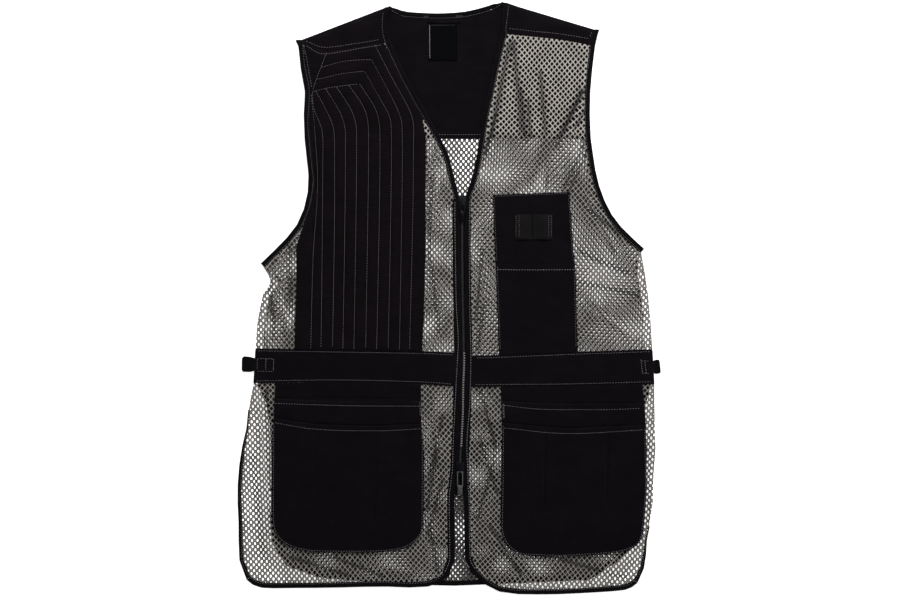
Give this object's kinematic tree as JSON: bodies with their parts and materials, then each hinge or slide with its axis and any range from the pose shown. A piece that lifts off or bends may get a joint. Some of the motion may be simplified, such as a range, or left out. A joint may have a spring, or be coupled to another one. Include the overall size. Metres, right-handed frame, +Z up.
{
  "type": "shooting vest",
  "caption": "Sleeveless V-neck mesh vest laid flat, with a zip front, quilted shooting patch, waist belt, chest pocket with shell loops and large pleated lower pockets.",
  "frame": {"origin": "middle of the vest's outline on the surface that it lies on", "axes": "+X to the viewer's right, +Y towards the neck, +Z up out of the front"},
  "size_m": [0.5377, 0.7559, 0.0115],
  "materials": {
    "net": "matt open net",
    "twill": "matt black twill",
    "tape": "matt black tape",
    "elastic": "ribbed elastic",
    "label": "satin woven label",
    "teeth": "satin",
    "zip_metal": "dark satin"
  },
  "bodies": {
    "garment": {"back_net": "net", "game_pouch": "net", "front_net_left": "net", "front_net_right": "net", "back_yoke": "twill", "shoulder_left": "twill", "shoulder_right": "twill", "belt_left": "twill", "belt_right": "twill", "shooting_patch": "twill", "pocket_backing_left": "twill", "pocket_inner_left": "twill", "pocket_outer_left": "twill", "pocket_backing_right": "twill", "pocket_inner_right": "twill", "pocket_outer_right": "twill", "chest_board": "twill", "chest_pocket": "twill", "back_vent_binding_left": "tape", "back_hem_binding": "tape", "back_vent_binding_right": "tape", "back_arm_binding_left": "tape", "back_arm_binding_right": "tape", "back_neck_binding": "tape", "arm_binding_left": "tape", "arm_binding_right": "tape", "vent_binding_left": "tape", "hem_binding_left": "tape", "front_binding_left": "tape", "neck_binding_left": "tape", "vent_binding_right": "tape", "hem_binding_right": "tape", "front_binding_right": "tape", "neck_binding_right": "tape", "hanging_loop": "tape", "side_loop_left": "tape", "side_loop_right": "tape", "zip_tape_left": "tape", "zip_tape_right": "tape", "shell_loop_left": "elastic", "shell_loop_right": "elastic", "neck_label": "label", "zip_teeth": "teeth", "slider_upper": "zip_metal", "slider_lower": "zip_metal"},
    "upper_pull": {"pull_upper": "zip_metal"},
    "lower_pull": {"pull_lower": "zip_metal"}
  },
  "joints": [
    {"name": "upper_pull_swing", "type": "hinge", "parent": "garment", "child": "upper_pull", "pos_m": [0.0168, 0.118, 0.0085], "axis": [-1, 0, 0], "range_deg": [0, 175]},
    {"name": "lower_pull_swing", "type": "hinge", "parent": "garment", "child": "lower_pull", "pos_m": [0.014, -0.221, 0.0085], "axis": [-1, 0, 0], "range_deg": [0, 175]}
  ]
}
